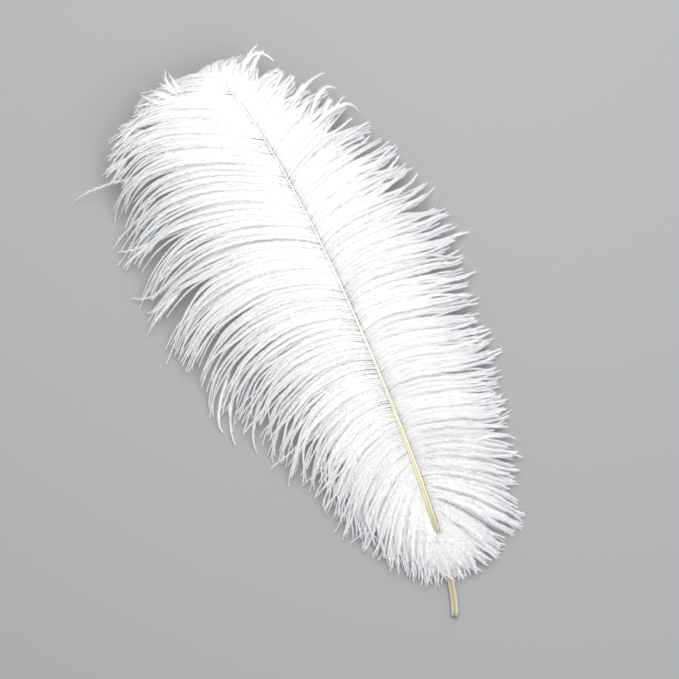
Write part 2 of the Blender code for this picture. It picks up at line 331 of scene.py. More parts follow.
# Meshes. Each barb has a strip of the UV map of its own, the stem in one part of it and the barbules in
# another, and U runs from its root to its tip.
UV_NAME = "OFBake"
STEM_SIDES = 3
STEM_TRIANGLES = (POINTS - 1) * STEM_SIDES * 2 + 2
STEM_STRIP = 0.5  # share of the strip, for its sides
STEM_END_WIDTH = 0.004
STEM_END_STRIP = (0.1, 0.2, 0.3)
BARBULE_STRIP = (0.55, 0.95)  # base and tip
SHAFT_END_WIDTHS = (0.002, 0.004)  # cut end and hidden end
MOST_TRIANGLES = 190000  # in one piece
QUILL_END_DEPTH = 3  # the solid's corners this near to its low end belong to the cut end

# Colours of the barbs: along a barb, their own cream at the shaft and a painted shade that greys and cools
# the tips, then from barb to barb, and in soft patches over the vanes
BARB_TONE_AND_TIP_SHADE = (
    (0, (0.97, 0.965, 0.95)),
    (0.12, (0.975, 0.975, 0.97)),
    (0.6, (0.97, 0.972, 0.974)),
    (1, (0.92, 0.926, 0.934)),
)
BARB_SHADES = ((0, (0.93, 0.932, 0.936)), (0.5, (0.98, 0.98, 0.98)), (1, (1, 1, 1)))
PATCH_SHADES = ((0.3, (0.97, 0.972, 0.978)), (0.65, (1, 1, 1)))
PATCH_SCALE = 70.0
BARB_ROUGHNESS = (0.5, 0.72)
TRANSLUCENCE = 0.45

# Colours of the shaft: along it from the quill, and from the groove outwards as a share of the way round.
# The darker line along the groove is painted shade in it, low on the shaft over the horn's own mustard tone
HORN_COLOURS = (
    (0, (0.52, 0.50, 0.42)),
    (0.13, (0.54, 0.49, 0.38)),
    (0.17, (0.70, 0.66, 0.50)),
    (0.24, (0.80, 0.77, 0.65)),
    (0.34, (0.84, 0.82, 0.73)),
    (0.45, (0.90, 0.89, 0.85)),
    (0.58, (0.95, 0.95, 0.94)),
    (0.86, (0.97, 0.97, 0.97)),
)
TOP_OF_SHAFT = 0.25  # in V
# painted shade in the groove, over the horn's own mustard tone, on the low shaft
GROOVE_TONE_AND_SHADE_LOW = (
    (0, (0.52, 0.47, 0.29)),
    (0.045, (0.60, 0.55, 0.38)),
    (0.095, (0.97, 0.96, 0.92)),
    (0.15, (1, 1, 1)),
)
# painted shade: a thin grey line in the groove, higher up the shaft
GROOVE_SHADE_HIGH = ((0, (0.66, 0.65, 0.62)), (0.04, (0.8, 0.79, 0.77)), (0.08, (1, 1, 1)))
LOW_TO_HIGH = ((0.38, (0, 0, 0)), (0.58, (1, 1, 1)))
STREAK_STRETCH = (18, 26, 1)
STREAK_SHADES = ((0.3, (0.88, 0.85, 0.78)), (0.6, (1, 1, 1)))
HORN_ROUGHNESS = (0.34, 0.52)

# Stage, in metres and watts, with the lens in millimetres
FRAME_WIDTH = 0.4495  # of the picture, at the height of the middle of the feather
PICTURE_MIDDLE = (7.4, 199.5)  # in millimetres from the quill's end
PICTURE_TURN = math.radians(24.65)  # of the feather from upright in the picture
LENS = 200
CLIP_END = 20
MIDDLE_HEIGHT = 0.02
FLOOR_SIZE = 8
FLOOR_COLOUR = (0.255, 0.26, 0.265, 1)
FLOOR_ROUGHNESS = 0.9
SKY_COLOUR = (0.985, 0.99, 1, 1)
SKY_STRENGTH = 0.66
LIGHT_SIZE = 0.8
LIGHTS = (  # name, place, target and power
    ("key", (0.2, 0.42, 1.05), (0, 0.1, 0), 14.7),
    ("fill", (0.45, -0.4, 1.15), (0, 0, 0), 5.5),
)


def smooth_step(low, high, value):
    share = np.clip((value - low) / (high - low), 0, 1)
    return share * share * (3 - 2 * share)


def by_table(value, table):
    """Value looked up in a table of pairs."""
    return np.interp(value, *zip(*table))


def unit(vectors):
    return vectors / np.maximum(np.linalg.norm(vectors, axis=-1, keepdims=True), 1e-9)


def direction(angle):
    """Seen from above, from an angle in radians from +Y, turning left."""
    return np.stack((-np.sin(angle), np.cos(angle)), -1)


def shaft_line():
    """Points along the shaft seen from above, and the distance of each from the quill's end."""
    share = np.linspace(0, 1, CURVE_POINTS)[:, None]
    p0, p1, p2, p3 = SHAFT_CURVE
    curve = (1 - share) ** 3 * p0 + 3 * share * (1 - share) ** 2 * p1
    curve += 3 * share**2 * (1 - share) * p2 + share**3 * p3
    ahead = (p3 - p2) / np.linalg.norm(p3 - p2)
    past = p3 + ahead * np.linspace(0, SHAFT_PAST_CURVE, PAST_CURVE_POINTS)[1:, None]
    points = np.vstack((curve, past))
    steps = np.linalg.norm(np.diff(points, axis=0), axis=1)
    return points, np.concatenate(((0,), np.cumsum(steps)))


SHAFT_POINTS, SHAFT_DISTANCES = shaft_line()
SHAFT_LENGTH = float(SHAFT_DISTANCES[-1])
ROLL_Y = FOLD - ROLL_RADIUS - VANE_LOFT_ROLLED


def shaft_place(distance):
    return np.stack([np.interp(distance, SHAFT_DISTANCES, SHAFT_POINTS[:, axis]) for axis in (0, 1)], -1)


def shaft_heading(distance):
    """In radians from +Y, turning left."""
    after = shaft_place(np.minimum(distance + HEADING_STEP, SHAFT_LENGTH))
    ahead = after - shaft_place(np.maximum(distance - HEADING_STEP, 0))
    return np.arctan2(-ahead[..., 0], ahead[..., 1])


def shaft_height(y):
    at_quill = SHAFT_RADII[0][1] * math.cos(math.pi / SOLID_SHAFT_SIDES)
    return at_quill + (ARCH_HEIGHT - at_quill) * smooth_step(ARCH_START, ARCH_END, y)


def shaft_radius(distance):
    return by_table(distance, SHAFT_RADII) * by_table(distance, SHAFT_SLIMMING)


def vane_share(distance):
    """How far along the vane a distance is, from 0 at the quill to 1 at the tip."""
    return (distance - VANE_START) / (SHAFT_LENGTH - VANE_START)


def vane_heights(distance, y, reach):
    """Heights of the vane's top and underside, as in the solid."""
    in_roll = smooth_step(-ROLL_BLEND, 0, y - ROLL_Y)
    root = shaft_height(shaft_place(distance)[..., 1])
    loft = VANE_LOFT + (VANE_LOFT_ROLLED - VANE_LOFT) * in_roll
    droop = by_table(y - ROLL_Y, DROOP_LEFT)
    inner = np.clip(reach, 0, 1)
    thickness = by_table(inner, VANE_THICKNESS) * (1 - THINNING_IN_ROLL * in_roll)
    thickness = thickness * by_table(distance, DOWN_FULLNESS)
    top = root - (root - VANE_THICKNESS[-1][1]) * droop * inner**DROOP_POWER
    top += loft * np.sin(math.pi * inner**LOFT_POWER)
    underside = np.maximum(top - thickness, 0)
    return np.maximum(top, underside + LEAST_THICKNESS), underside


def rolled(points):
    """The points after the part past the fold is turned under."""
    x, y, z = points[..., 0], points[..., 1], points[..., 2]
    past = y - ROLL_Y
    radius = ROLL_RADIUS + z - ARCH_HEIGHT
    angle = np.clip(past / ROLL_RADIUS, 0, math.pi)
    straight = np.maximum(past - math.pi * ROLL_RADIUS, 0)
    turned_y = ROLL_Y + radius * np.sin(angle) - straight
    turned_z = ARCH_HEIGHT - ROLL_RADIUS + radius * np.cos(angle)
    turned = np.stack((x, turned_y, turned_z), -1)
    return np.where(past[..., None] > 0, turned, points)


class Flow:
    """The curves of one side's barbs, seen from above: a place for each distance and reach."""

    def __init__(self, side):
        distances = np.linspace(VANE_START, SHAFT_LENGTH, FLOW_COLUMNS)
        reaches = np.linspace(0, FLOW_REACH, FLOW_ROWS)
        share, table = vane_share(distances), BARBS[side]
        root, middle, tip, length = (
            np.interp(share, table[:, 0], table[:, column])[:, None] for column in (1, 2, 3, 4)
        )
        between = (reaches[1:] + reaches[:-1]) / 2
        heading = (1 - between) ** 2 * root + 2 * between * (1 - between) * middle + between**2 * tip
        angle = shaft_heading(distances)[:, None] - side * np.radians(heading)
        steps = direction(angle) * (length * np.diff(reaches))[..., None]
        start = shaft_place(distances)[:, None]
        self.places = np.concatenate((start, start + np.cumsum(steps, axis=1)), axis=1)

    def place(self, distance, reach):
        column = np.clip(vane_share(distance), 0, 1) * (FLOW_COLUMNS - 1)
        row = np.clip(reach / FLOW_REACH, 0, 1) * (FLOW_ROWS - 1)
        first_column = np.minimum(column.astype(int), FLOW_COLUMNS - 2)
        first_row = np.minimum(row.astype(int), FLOW_ROWS - 2)
        over, up = (column - first_column)[..., None], (row - first_row)[..., None]
        grid = self.places
        low = grid[first_column, first_row] * (1 - up) + grid[first_column, first_row + 1] * up
        high = grid[first_column + 1, first_row] * (1 - up) + grid[first_column + 1, first_row + 1] * up
        return low * (1 - over) + high * over


def solid_locks():
    """Where the solid's locks part along the shaft, and each side's lock lengths and notches."""
    draw = random.Random(SEED)
    spacing = (SHAFT_LENGTH - VANE_START) / LOCKS
    valleys = [VANE_START + spacing * place for place in range(LOCKS + 1)]
    for place in range(1, LOCKS):
        valleys[place] += draw.uniform(-1, 1) * LOCK_UNEVENNESS * spacing
    sides = {}
    for side in (LEFT, RIGHT):
        lengths = [1 + draw.uniform(-1, 1) * LOCK_LENGTH_SPREAD for _ in range(LOCKS)]
        notches = []
        for place in range(LOCKS + 1):
            notch = float(np.interp(place / LOCKS, (0, 0.5, 1), NOTCHES[side]))
            notches.append(notch + draw.uniform(-1, 1) * NOTCH_SPREAD)
        sides[side] = lengths, notches
    return valleys, sides


def wander(draw, reach, cycles):
    """A smooth swing for each barb, between about -1 and 1."""
    barbs = len(reach)
    swing = np.zeros(reach.shape)
    for size, speed in WANDER_WAVES:
        turns = draw.uniform(*WANDER_SPREAD, (barbs, 1)) * cycles * speed
        swing += size * np.sin(math.tau * (turns * reach + draw.uniform(0, 1, (barbs, 1))))
    return swing


def parted(side, distance, reach):
    """The barbs' places along the shaft, with their tips moved away from the clefts."""
    for share, opening in PARTINGS[side]:
        away = distance - (VANE_START + share * (SHAFT_LENGTH - VANE_START))
        towards_tip = smooth_step(PARTING_START, PARTING_END, reach)
        push = opening * np.exp(-((away / PARTING_WIDTH) ** 2)) * towards_tip
        distance = distance + push * np.sign(away[:, :1])
    return distance


class Lock:
    """The barbs of one lock. Arrays have a row for each barb and a column for each point along it.

    The steps draw random numbers, so their order is part of the shape.
    """

    def __init__(self, side, number, valleys, lengths, notches, draw):
        self.side, self.number, self.draw = side, number, draw
        self.low, self.high = valleys[number], valleys[number + 1]
        self.length = lengths[number]
        self.notch = (notches[number] + notches[number + 1]) / 2
        self.middle = (self.low + self.high) / 2
        self.downy = by_table(self.middle, DOWN_WEIGHT)
        self.barbs = round(by_table(number, BARBS_IN_LOCK))
        self.bunches = int(draw.integers(*BUNCHES))
        self.across = (np.arange(self.barbs)[:, None] + self.each(*BARB_UNEVENNESS)) / self.barbs
        self.bunch = np.minimum((self.across * self.bunches).astype(int), self.bunches - 1)
        self.bunch_middle = (self.bunch + 0.5) / self.bunches
        self.along = np.linspace(0, 1, POINTS)[None]
        self.reach = self.ends() * self.along

    def each(self, low=0, high=1):
        """A random number for each barb."""
        return self.draw.uniform(low, high, (self.barbs, 1))

    def ends(self):
        """How far each barb reaches."""
        length = LENGTHENING * LOCK_LENGTHS.get((self.side, self.number), 1) * self.length
        bunch_shortening = BUNCH_SHORTENING * self.draw.random(self.bunches)[self.bunch]
        length = length * (1 - bunch_shortening - DOWN_SHORTENING * self.downy)
        from_middle = np.abs(2 * self.bunches * (self.across - self.bunch_middle))
        return length * (1 - TAPER * from_middle**TAPER_POWER - RAGGED * self.each())

    def gathered(self):
        """Each point's place across the lock, from 0 to 1, with the barbs drawn into bunches or strands."""
        strength = self.draw.uniform(*GATHERING[self.side], self.bunches)[self.bunch]
        strength = strength * (1 - (1 - GATHERING_IN_DOWN) * self.downy)
        opened = by_table(self.middle, OPEN_EDGE[self.side])
        strength = strength * (1 - OPEN_GATHERING * opened)
        drawn_in = smooth_step(self.notch + GATHER_START, GATHER_END, self.reach)
        kept = 1 - drawn_in * strength * self.each(*GATHERING_SPREAD)
        place = self.bunch_middle + (self.across - self.bunch_middle) * kept
        strand = (np.floor(self.across * OPEN_STRANDS) + 0.5) / OPEN_STRANDS
        place = place + (strand - self.across) * OPEN_GATHERING * opened * drawn_in
        return 0.5 + (place - 0.5) * (1 - GATHERING_IN_LOCK * drawn_in)

    def swing(self):
        """How far each point lies to the side of its curve."""
        side, draw, reach = self.side, self.draw, self.reach
        swing = LOCK_SWAY[side] * draw.uniform(-1, 1) * reach**LOCK_SWAY_POWER
        swing = swing + LOCK_HOOK[side] * draw.normal(0, LOCK_HOOK_SPREAD) * reach**LOCK_HOOK_POWER
        lean = BUNCH_LEAN[side] * draw.normal(0, BUNCH_LEAN_SPREAD, self.bunches)[self.bunch]
        swing = swing + lean * reach**BUNCH_LEAN_POWER
        swing = swing * (CALM_SWAY if self.number in CALM_LOCKS[side] else 1)
        ruffle = by_table(self.middle, RUFFLE[side])
        swing = swing + ruffle * BARB_SWAY * wander(draw, reach, BARB_SWAY_CYCLES) * reach**BARB_SWAY_POWER
        bias = by_table(self.middle, TIP_HOOK_BIAS[side])
        hook = TIP_HOOK[side] * draw.normal(bias, TIP_HOOK_SPREAD, (self.barbs, 1))
        hook = hook * smooth_step(TIP_HOOK_START, TIP_HOOK_END, self.along) ** 2
        return swing + ruffle * hook

    def rooted(self, plan, distance):
        """The curves with their roots moved to the shaft's side and, next to the quill, back along it."""
        heading = shaft_heading(distance)
        aside = self.side * (ROOT_ASIDE + ROOT_ASIDE_IN_DOWN * self.downy) * shaft_radius(distance)
        aside = aside * (1 - smooth_step(0, ROOT_ASIDE_END, self.reach))
        plan = plan + aside[..., None] * np.stack((np.cos(heading), np.sin(heading)), -1)
        back = ROOTS_BACK * (1 - smooth_step(VANE_START, VANE_START + ROOTS_BACK_STRETCH, distance))
        return plan - back[..., None] * direction(heading)

    def heights(self, distance, y, layer, furrows):
        """Heights over the surface. A layer is a share of the vane's thickness.

        Furrows run from 0 between two of them to 1 at the bottom of one.
        """
        reach = self.reach
        top, underside = vane_heights(distance, y, reach)
        layer = ROOT_LAYER + (layer - ROOT_LAYER) * smooth_step(0, ROOT_LAYER_END, reach)
        height = underside + (top - underside) * layer
        height = height + ROOT_RISE * shaft_radius(distance) * (1 - smooth_step(0, ROOT_RISE_END, reach))
        height = height - FURROW_DEPTH * (1 + self.downy) * furrows
        swing = HEIGHT_WANDER * wander(self.draw, reach, HEIGHT_WANDER_CYCLES)
        height = height + swing * smooth_step(*HEIGHT_WANDER_START, reach)
        return height + TIP_LIFT * self.each() ** TIP_LIFT_RARITY * self.along**TIP_LIFT_POWER

    def paths(self, flow):
        """The barbs' paths, laid out straight: (barbs, points, 3). Also each one's share of barbules."""
        reach = self.reach
        distance = parted(self.side, self.low + (self.high - self.low) * self.gathered(), reach)
        near_root = 1 - smooth_step(*FURROW_END, reach)
        furrow = math.tau * distance / FURROWS
        distance = distance - FURROW_DRAW * np.sin(furrow) * near_root
        plan = flow.place(distance, reach)
        sideways = unit(np.gradient(plan, axis=1))[..., ::-1] * (-1, 1)
        plan = plan + sideways * self.swing()[..., None]
        plan = self.rooted(plan, distance)
        furrows = (0.5 - 0.5 * np.cos(furrow)) * near_root * smooth_step(0, FURROW_START, reach)
        layer = self.each(LOWEST_LAYER, 1) ** LAYER_POWER
        height = self.heights(distance, plan[..., 1], layer, furrows)
        share = BURIED_BARBULES + (1 - BURIED_BARBULES) * layer[:, 0]
        return np.concatenate((plan, height[..., None]), -1), share


def side_barbs(side, draw):
    """Paths of one side's barbs from the quill to the tip, how downy each is, and its share of barbules."""
    flow = Flow(side)
    valleys, sides = solid_locks()
    found = []
    for number in range(LOCKS):
        lock = Lock(side, number, valleys, *sides[side], draw)
        paths, share = lock.paths(flow)
        found.append((paths, np.full(lock.barbs, lock.downy), share))
    return [np.concatenate(values) for values in zip(*found)]


def tuft_paths(draw):
    """Short barbs round the quill, laid out straight."""
    side = np.where(np.arange(TUFT_BARBS) % 2, RIGHT, LEFT)[:, None]
    distance = draw.uniform(TUFT_FROM, TUFT_TO, (TUFT_BARBS, 1))
    along = np.linspace(0, 1, POINTS)[None]
    heading = draw.uniform(*TUFT_HEADINGS, (TUFT_BARBS, 1))
    heading = heading + draw.normal(0, TUFT_CURL, (TUFT_BARBS, 1)) * along
    angle = shaft_heading(distance) - side * np.radians(heading)
    step = draw.uniform(*TUFT_LENGTHS, (TUFT_BARBS, 1)) / (POINTS - 1)
    plan = shaft_place(distance) + np.cumsum(direction(angle) * step[..., None], axis=1)
    root = shaft_height(shaft_place(distance)[..., 1])
    rise = draw.uniform(*TUFT_RISE, (TUFT_BARBS, 1))
    height = root + (rise + TUFT_BULGE) * np.sin(math.pi * along**LOFT_POWER)
    height = height + (rise * TUFT_TIP_RISE - root * TUFT_TIP_DROP) * along
    return np.concatenate((plan, height[..., None]), -1)


def stray_paths():
    """Each stray barb as a curve through its bend."""
    along = np.linspace(0, 1, POINTS)[:, None]
    found = []
    for root, bend, tip, start_height, end_height, _ in STRAYS:
        root, tip = np.array(root, float), np.array(tip, float)
        pull = 2 * np.array(bend, float) - (root + tip) / 2
        plan = (1 - along) ** 2 * root + 2 * along * (1 - along) * pull + along**2 * tip
        height = start_height + (end_height - start_height) * along**STRAY_DROP_POWER
        found.append(np.concatenate((plan, height), -1))
    return np.array(found)


def fringe_paths(draw):
    """Short barbs along the fold, each a curve that drops towards its tip."""
    one_each = (FRINGE_BARBS, 1)
    share = (np.arange(FRINGE_BARBS)[:, None] + draw.random(one_each)) / FRINGE_BARBS
    places, *columns = zip(*FRINGE)
    x, y, height, heading = (np.interp(share, places, column) for column in columns)
    along = np.linspace(0, 1, POINTS)[None]
    heading = heading + draw.normal(0, FRINGE_HEADING_SPREAD, one_each)
    heading = heading + FRINGE_CURL * draw.uniform(*FRINGE_CURL_SPREAD, one_each) * along
    step = draw.uniform(*FRINGE_LENGTHS, one_each) / (POINTS - 1)
    moved = np.cumsum(direction(np.radians(heading)) * step[..., None], axis=1)
    plan = np.stack((x, y), -1) + draw.normal(0, FRINGE_SCATTER, (FRINGE_BARBS, 1, 2)) + moved
    drop = FRINGE_DROP * draw.uniform(*FRINGE_DROP_SPREAD, one_each)
    return np.concatenate((plan, (height - drop * along**FRINGE_DROP_POWER)[..., None]), -1)


def frames_along(paths):
    """Directions ahead, sideways and up at each point of each path."""
    ahead = unit(np.gradient(paths, axis=1))
    sideways = unit(np.stack((-ahead[..., 1], ahead[..., 0], np.zeros(ahead.shape[:2])), -1))
    return ahead, sideways, np.cross(ahead, sideways)


def wall_faces(index):
    """Triangles between each ring of corners and the next one, for rings along the last axis but one."""
    following = np.roll(index, -1, axis=-1)
    here, beside = index[..., :-1, :], following[..., :-1, :]
    past, past_beside = index[..., 1:, :], following[..., 1:, :]
    return np.stack((here, beside, past_beside, here, past_beside, past), -1).reshape(-1, 3)


def wall_uvs(first_u, second_u, first_v, second_v):
    """UVs of those triangles, from the values at each cell's sides."""
    u = np.stack((first_u, first_u, second_u, first_u, second_u, second_u), -1)
    v = np.stack((first_v, second_v, second_v, first_v, second_v, first_v), -1)
    return np.stack((u, v), -1).reshape(-1, 2)


def stem_uvs(barbs, points):
    """UVs of the stems: their walls, then their root ends, then their tips."""
    along = np.linspace(0, 1, points)
    shape = (barbs, points - 1, STEM_SIDES)
    first_u, second_u = (np.broadcast_to(u[None, :, None], shape) for u in (along[:-1], along[1:]))
    strip = np.arange(barbs)[:, None, None]
    side_width = STEM_STRIP / STEM_SIDES
    start_v = np.arange(STEM_SIDES) * STEM_STRIP / STEM_SIDES
    first_v = np.broadcast_to(strip + start_v, shape) / barbs
    second_v = np.broadcast_to(strip + start_v + side_width, shape) / barbs
    root_u = np.tile((0, STEM_END_WIDTH, 0), (barbs, 1))
    tip_u = np.tile((1 - STEM_END_WIDTH, 1, 1), (barbs, 1))
    end_v = np.tile((np.arange(barbs)[:, None] + STEM_END_STRIP) / barbs, (2, 1))
    ends = np.stack((np.concatenate((root_u, tip_u)), end_v), -1).reshape(-1, 2)
    return np.concatenate((wall_uvs(first_u, second_u, first_v, second_v), ends))


def stems(paths, scale=1.0):
    """The barbs' own stems as three-sided tapering tubes: corners, faces and UVs."""
    barbs, points = paths.shape[:2]
    _, sideways, up = frames_along(paths)
    taper = by_table(np.linspace(0, 1, points), CORE_RADIUS)
    radius = (np.reshape(scale, (-1, 1)) * taper[None])[..., None, None]
    turn = math.tau * np.arange(STEM_SIDES)[None, None, :, None] / STEM_SIDES
    outward = np.cos(turn) * sideways[:, :, None] + np.sin(turn) * up[:, :, None]
    rings = paths[:, :, None] + radius * outward
    index = np.arange(barbs * points * STEM_SIDES).reshape(barbs, points, STEM_SIDES)
    ends = np.concatenate((index[:, 0, ::-1], index[:, -1]))
    return rings.reshape(-1, 3), np.concatenate((wall_faces(index), ends)), stem_uvs(barbs, points)


def barbule_counts(paths, share):
    """How many barbules each barb has, by its length and its share of the usual."""
    lengths = np.linalg.norm(np.diff(paths, axis=1), axis=2).sum(1)
    mean = by_table(np.linspace(0, 1, DENSITY_STEPS), BARBULES_PER_MM).mean()
    return np.round(lengths * share * mean).astype(int)


def spread(value):
    """Evenly spaced shares along a barb moved to where the barbules are denser."""
    shares = np.linspace(0, 1, DENSITY_STEPS)
    passed = np.cumsum(by_table(shares, BARBULES_PER_MM))
    passed = (passed - passed[0]) / (passed[-1] - passed[0])
    return np.interp(value, passed, shares)


def barbules(paths, downy, share, draw, side=LEFT):
    """One slender triangle for each barbule: corners, faces and UVs. They make a barb a soft strand."""
    barbs, points = paths.shape[:2]
    counts = barbule_counts(paths, share)
    barb = np.repeat(np.arange(barbs), counts)
    place = np.arange(len(barb)) - np.repeat(np.cumsum(counts) - counts, counts)
    along = spread((place + draw.random(len(barb))) / counts[barb])
    step = np.minimum((along * (points - 1)).astype(int), points - 2)
    part = (along * (points - 1) - step)[:, None]

    def between(values):
        return values[barb, step] * (1 - part) + values[barb, step + 1] * part

    root = between(paths)
    forward, beside, rise = (unit(between(values)) for values in frames_along(paths))
    down = downy[barb]
    widening = DOWN_WIDENING * down * smooth_step(*DOWN_WIDENING_START, along)
    widening = 1 + widening * (1 - smooth_step(*DOWN_WIDENING_END, along))
    width = by_table(along, STRAND_WIDTH[side]) * widening * draw.uniform(*STRAND_WIDTH_SPREAD, len(barb))
    angle = by_table(along, BARBULE_ANGLE) + DOWN_ANGLE * down * (1 - DOWN_ANGLE_LOSS * along)
    angle = np.radians(angle * draw.uniform(*BARBULE_ANGLE_SPREAD, len(barb)))
    roll = draw.normal(0, BARBULE_ROLL + BARBULE_ROLL_IN_DOWN * down, len(barb)) + math.pi * (place % 2)
    outward = np.cos(roll)[:, None] * beside + np.sin(roll)[:, None] * rise
    heading = np.cos(angle)[:, None] * forward + np.sin(angle)[:, None] * outward
    length = width / np.sin(np.maximum(angle, LEAST_ANGLE))
    facing = rise + by_table(along, BARBULE_TILT)[:, None] * draw.normal(0, 1, (len(barb), 3))
    base = unit(np.cross(facing, heading)) * (by_table(along, BARBULE_WIDTH) / 2)[:, None]
    corners = np.stack((root - base, root + base, root + heading * length[:, None]), 1).reshape(-1, 3)
    faces = np.arange(len(barb) * 3).reshape(-1, 3)
    cell = 1 / counts[barb]
    u = spread(np.stack((place * cell, (place + 1) * cell, (place + 0.5) * cell), -1))
    base_v, tip_v = BARBULE_STRIP
    v = (barb[:, None] + (base_v, base_v, tip_v)) / barbs
    return corners, faces, np.stack((u, v), -1).reshape(-1, 2)


def shaft_rings():
    """The shaft's middle line, and the corners of its rings, with a shallow groove on top."""
    distances = np.linspace(0, SHAFT_LENGTH - SHAFT_HIDDEN_END, SHAFT_RINGS)
    plan = shaft_place(distances)
    centre = np.concatenate((plan, shaft_height(plan[:, 1])[:, None]), -1)
    _, sideways, up = (values[0] for values in frames_along(centre[None]))
    turn = math.tau * (np.arange(SHAFT_SIDES) / SHAFT_SIDES)[None]
    from_top = np.abs((turn - math.pi / 2 + math.pi) % math.tau - math.pi)
    groove = GROOVE_DEPTH * by_table(distances, GROOVED)[:, None] * np.exp(-((from_top / GROOVE_WIDTH) ** 2))
    radius = shaft_radius(distances)[:, None] * (1 - groove)
    radius[0] *= CUT_END_ROUNDING
    outward = np.cos(turn)[..., None] * sideways[:, None] + np.sin(turn)[..., None] * up[:, None]
    return centre, centre[:, None] + radius[..., None] * outward


def shaft_uvs():
    """UVs of the shaft: its wall, then its cut end, then the end that is hidden in the tip."""
    cell = np.zeros((SHAFT_RINGS - 1, SHAFT_SIDES))
    row = np.arange(SHAFT_RINGS - 1)[:, None] + cell
    column = np.arange(SHAFT_SIDES)[None] + cell
    wall = wall_uvs(
        row / SHAFT_RINGS, (row + 1) / SHAFT_RINGS, column / SHAFT_SIDES, (column + 1) / SHAFT_SIDES
    )
    start_v = np.arange(SHAFT_SIDES) / SHAFT_SIDES
    cap_v = np.stack((start_v, start_v + 1 / SHAFT_SIDES, start_v + 0.5 / SHAFT_SIDES), -1)
    cut_width, hidden_width = SHAFT_END_WIDTHS
    cut_u = np.tile((0, 0, cut_width), (SHAFT_SIDES, 1))
    hidden_u = np.tile((1 - hidden_width, 1 - hidden_width, 1), (SHAFT_SIDES, 1))
    caps = [np.stack((u, cap_v), -1).reshape(-1, 2) for u in (cut_u, hidden_u)]
    return np.concatenate((wall, *caps))


def shaft_tube():
    """The shaft as one closed tube: corners, faces and UVs, laid out straight."""
    centre, rings = shaft_rings()
    corners = np.concatenate((rings.reshape(-1, 3), centre[:1], centre[-1:]))
    index = np.arange(SHAFT_RINGS * SHAFT_SIDES).reshape(SHAFT_RINGS, SHAFT_SIDES)
    following = np.roll(index, -1, axis=1)
    cut_middle, hidden_middle = len(corners) - 2, len(corners) - 1
    cut = np.stack((following[0], index[0], np.full(SHAFT_SIDES, cut_middle)), -1)
    hidden = np.stack((index[-1], following[-1], np.full(SHAFT_SIDES, hidden_middle)), -1)
    return corners, np.concatenate((wall_faces(index), cut, hidden)), shaft_uvs()


def set_mesh(mesh, corners, faces, uvs):
    """Fills an empty mesh with triangles, three UVs to a face."""
    mesh.vertices.add(len(corners))
    mesh.vertices.foreach_set("co", np.ascontiguousarray(corners, np.float32).ravel())
    mesh.loops.add(faces.size)
    mesh.loops.foreach_set("vertex_index", np.ascontiguousarray(faces, np.int32).ravel())
    mesh.polygons.add(len(faces))
    mesh.polygons.foreach_set("loop_start", np.arange(0, faces.size, 3, dtype=np.int32))
    layer = mesh.uv_layers.new(name=UV_NAME)
    layer.data.foreach_set("uv", np.ascontiguousarray(uvs, np.float32).ravel())
    mesh.polygons.foreach_set("use_smooth", np.ones(len(faces), bool))
    mesh.update(calc_edges=True)
    mesh.validate()


def add_piece(name, parts, origin, material, laid_straight=True):
    """Joins lists of corners, faces and UVs into one object that stands for the solid."""
    corners = np.concatenate([part[0] for part in parts])
    starts = np.cumsum([0] + [len(part[0]) for part in parts[:-1]])
    faces = np.concatenate([part[1] + start for part, start in zip(parts, starts)])
    uvs = np.concatenate([part[2] for part in parts])
    corners[:, 2] = np.maximum(corners[:, 2], LOWEST)
    turned = rolled(corners) if laid_straight else corners
    turned[:, 2] = np.maximum(turned[:, 2], LOWEST)
    mesh = bpy.data.meshes.new(name)
    set_mesh(mesh, turned * MM + origin, faces, uvs)
    mesh.materials.append(material)
    piece = bpy.data.objects.new(name, mesh)
    bpy.context.scene.collection.objects.link(piece)
    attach(piece, "root")
    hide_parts("feather")
    print(name, len(faces), "triangles")


def quill_end(frame):
    """The middle of the solid's cut end, on the surface, in metres."""
    corners = np.array([vertex.co for vertex in frame["nodes"]["feather"].data.vertices])
    nearest = corners[corners[:, 1] < corners[:, 1].min() + QUILL_END_DEPTH * MM]
    x, y, _ = np.unique(nearest.round(6), axis=0).mean(0)
    return np.array((x, y, 0))


